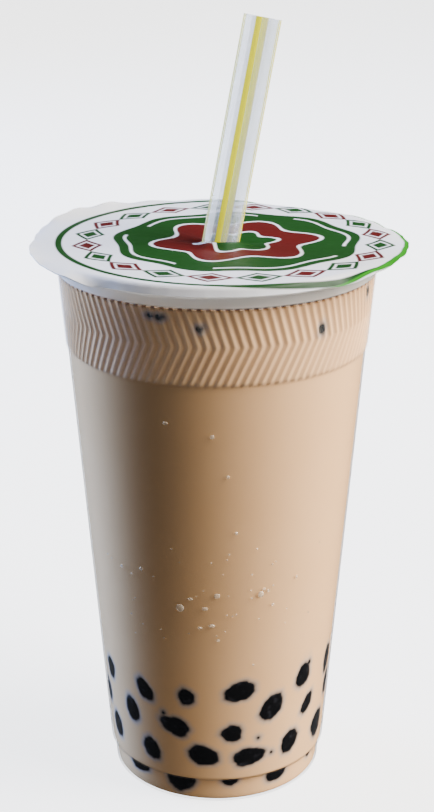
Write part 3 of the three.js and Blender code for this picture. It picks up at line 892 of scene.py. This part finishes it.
film.data.materials.append(printed_film)
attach(film, "root")
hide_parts("film_lid")

# Drops: the cold cup has misted over a little, and a few drops stand on its wall, flat and round or drawn
# sideways. Between them lie tiny ones.
DROPS = [
    # degrees from the viewer's side, height, width and height of the drop
    (-16.2, 65.4, 2.4, 2.4), (0.0, 69.9, 1.7, 1.6), (-11.6, 68.6, 1.7, 0.9), (-5.2, 65.7, 1.7, 1.1),
    (-2.2, 60.3, 1.8, 1.1), (-7.5, 59.5, 1.4, 0.9), (19.2, 69.5, 1.8, 2.0), (20.6, 71.0, 0.9, 0.9),
    (-34.2, 75.4, 1.2, 1.2), (-45.4, 74.1, 1.0, 1.0), (-19.5, 121.7, 1.6, 1.0), (-1.8, 118.5, 1.2, 1.2),
    (4.2, 106.6, 1.0, 1.0), (7.7, 89.5, 0.9, 0.9), (22.6, 70.3, 0.9, 0.8), (25.0, 65.6, 1.0, 0.8),
    (36.5, 72.6, 0.8, 1.0), (0.5, 55.6, 1.0, 1.0), (16.8, 46.8, 0.7, 0.6),
]
DROP_BULGE = 0.16
DROP_COLUMNS = 20
TINY_DROPS = 40


def drop_rings(angle, height, width, tall):
    """One drop as rings from its top down to its base, which lies just inside the wall. At a share q of its
    half width from its middle it stands DROP_BULGE times its width times sqrt(1 - q^2) proud."""
    share = np.array([0.2, 0.5, 0.75, 0.93, 1.0, 0.9])[:, None]
    proud = DROP_BULGE * width * np.sqrt(1 - share ** 2)
    proud[-1] = -0.08
    direction = TURN * np.arange(DROP_COLUMNS) / DROP_COLUMNS
    round_the_cup = math.radians(angle) + 0.5 * width * share * np.cos(direction) / wall_radius(height)
    z = height + 0.5 * tall * share * np.sin(direction)
    radius = wall_radius(z) + proud
    return np.stack([radius * np.sin(round_the_cup), -radius * np.cos(round_the_cup), z], -1)


drop_shapes = [drop_rings(*row) for row in DROPS]
for _ in range(TINY_DROPS):
    size = chance.uniform(0.35, 0.6)
    drop_shapes.append(drop_rings(chance.normal(-12, 26), chance.normal(68, 9), size, size))
drops = shell_mesh("wall_drops", drop_shapes)

# Water: a clear gloss over a pale cloud. The cloud is painted light, for the light each drop gathers as
# a small lens.
water, tree = finish_material("water_with_painted_light")
wet = add(tree, "ShaderNodeBsdfGlossy", {"Color": linear("#ffffff"), "Roughness": 0.08})
thin = add(tree, "ShaderNodeBsdfTransparent", {"Color": linear("#ffffff")})
# Painted light: this pale matt cloud stands for the light that the drops gather as lenses.
painted_lens_light = add(tree, "ShaderNodeBsdfDiffuse", {"Color": linear("#f1e2c8")})
drop_body = add(tree, "ShaderNodeMixShader", {0: 0.34, 1: thin.outputs[0], 2: painted_lens_light.outputs[0]})
facing = add(tree, "ShaderNodeLayerWeight", {"Blend": 0.5})
grazing = add(tree, "ShaderNodeMath", {0: facing.outputs["Facing"], 1: 5.0}, operation="POWER")
mirrored = add(tree, "ShaderNodeMath", {0: grazing.outputs[0], 1: 0.9, 2: 0.06}, operation="MULTIPLY_ADD")
drop_skin = add(tree, "ShaderNodeMixShader", {
    0: mirrored.outputs[0], 1: drop_body.outputs[0], 2: wet.outputs[0],
})
add(tree, "ShaderNodeOutputMaterial", {"Surface": drop_skin.outputs[0]})
drops.data.materials.append(water)
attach(drops, "root")

# Floor: a plain pale studio sweep of paper, level and wide, with fibres about a millimetre long. It takes the
# cup's shadow, and it throws no light back up at the drink.
FLOOR_REACH = 6.0
floor_mesh = bpy.data.meshes.new("studio_floor")
floor_corners = [(FLOOR_REACH * x, FLOOR_REACH * y, 0) for x, y in ((-1, -1), (1, -1), (1, 1), (-1, 1))]
floor_mesh.from_pydata(floor_corners, [], [(0, 1, 2, 3)])
floor = bpy.data.objects.new("studio_floor", floor_mesh)
bpy.context.scene.collection.objects.link(floor)
pale, tree = finish_material("pale_paper")
place = add(tree, "ShaderNodeTexCoord")
fibres = add(tree, "ShaderNodeTexNoise", {"Vector": place.outputs["Object"], "Scale": 900, "Detail": 2})
paper_tone = add(tree, "ShaderNodeMix", {
    "Factor": fibres.outputs["Fac"], "A": linear("#f4f4f5"), "B": linear("#f8f8f9"),
}, data_type="RGBA")
paper = add(tree, "ShaderNodeBsdfDiffuse", {"Color": paper_tone.outputs["Result"], "Roughness": 0.9})
sweep_light = add(tree, "ShaderNodeEmission", {"Color": linear("#f6f6f7"), "Strength": 5.5})
evenly_lit = add(tree, "ShaderNodeMixShader", {0: 0.62, 1: paper.outputs[0], 2: sweep_light.outputs[0]})
add(tree, "ShaderNodeOutputMaterial", {"Surface": evenly_lit.outputs[0]})
floor_mesh.materials.append(pale)
floor.visible_diffuse = False
floor.visible_glossy = False

# Studio: a large soft window high at the right with a smaller one behind it, a cool one at the back left
# that lights the left edge of the cup, a spark of light off the table at the foot, and a pale room.
scene = bpy.context.scene
world = bpy.data.worlds.new("pale_room")
world.use_nodes = True
scene.world = world
tree = world.node_tree
tree.nodes.clear()
ray = add(tree, "ShaderNodeLightPath")
room = add(tree, "ShaderNodeBackground", {"Color": linear("#dfe4ec"), "Strength": 0.17})
backdrop = add(tree, "ShaderNodeBackground", {"Color": linear("#f6f6f7"), "Strength": 3.6})
seen = add(tree, "ShaderNodeMixShader", {
    0: ray.outputs["Is Camera Ray"], 1: room.outputs[0], 2: backdrop.outputs[0],
})
add(tree, "ShaderNodeOutputWorld", {"Surface": seen.outputs[0]})


def soft_light(name, azimuth, elevation, distance, size, power, colour, mirrored=True, aim=0.09):
    """An area light that faces the cup's axis at the height aim in metres, azimuth degrees round from the
    viewer's side towards the right. Its place is distance * (cos e sin a, -cos e cos a, sin e)."""
    lamp = bpy.data.lights.new(name, "AREA")
    lamp.shape = "RECTANGLE"
    lamp.size, lamp.size_y = size
    lamp.energy = power
    lamp.color = linear(colour)[:3]
    holder = bpy.data.objects.new(name, lamp)
    turn, rise = math.radians(azimuth), math.radians(elevation)
    level = math.cos(rise)
    holder.location = (
        distance * level * math.sin(turn),
        -distance * level * math.cos(turn),
        aim + distance * math.sin(rise),
    )
    holder.rotation_euler = (math.pi / 2 - rise, 0, turn)
    holder.visible_glossy = mirrored
    scene.collection.objects.link(holder)


soft_light("key_window", 80, 38, 1.1, (0.8, 0.9), 70, "#fffaf2")
soft_light("right_fill", 118, 24, 1.1, (0.7, 0.7), 12, "#fff8ee")
soft_light("left_window", -123, 8, 1.1, (0.5, 0.9), 126, "#98bdff", mirrored=False)
soft_light("table_bounce", 25, 0, 0.1, (0.1, 0.02), 0.02, "#fff6ea", mirrored=False, aim=0.011)

# Gloss card: an upright bright sheet, bent round the left of the cup, which the straw's wall and the film
# mirror as a white band. Neither the camera nor matt surfaces see it.
CARD_REACH = 0.3
CARD_STEPS = 16
card_round = np.radians(np.linspace(-68, -122, CARD_STEPS))[:, None]
card_height = np.array([0.125, 0.45])[None] + 0 * card_round
card_points = np.stack([
    CARD_REACH * np.sin(card_round) + 0 * card_height,
    -CARD_REACH * np.cos(card_round) + 0 * card_height,
    card_height,
], -1)
card_row = 2 * np.arange(CARD_STEPS - 1)[:, None]
card_mesh = bpy.data.meshes.new("gloss_card")
card_mesh.from_pydata(card_points.reshape(-1, 3).tolist(), [], (card_row + np.array([0, 1, 3, 2])).tolist())
card = bpy.data.objects.new("gloss_card", card_mesh)
scene.collection.objects.link(card)
lit_card, tree = finish_material("lit_card")
glow = add(tree, "ShaderNodeEmission", {"Color": linear("#f4f7ff"), "Strength": 9.0})
add(tree, "ShaderNodeOutputMaterial", {"Surface": glow.outputs[0]})
card_mesh.materials.append(lit_card)
card.visible_camera = False
card.visible_diffuse = False
card.visible_shadow = False

# Camera: at the photograph's height and distance, looking down 19 degrees at the cup.
camera_lens = bpy.data.cameras.new("camera")
camera_lens.lens = 77.71
camera_lens.sensor_width = 36
camera = bpy.data.objects.new("camera", camera_lens)
camera.location = (0, -0.480, 0.28093)
camera.rotation_euler = (math.radians(70.70), 0, 0)
scene.collection.objects.link(camera)
scene.camera = camera
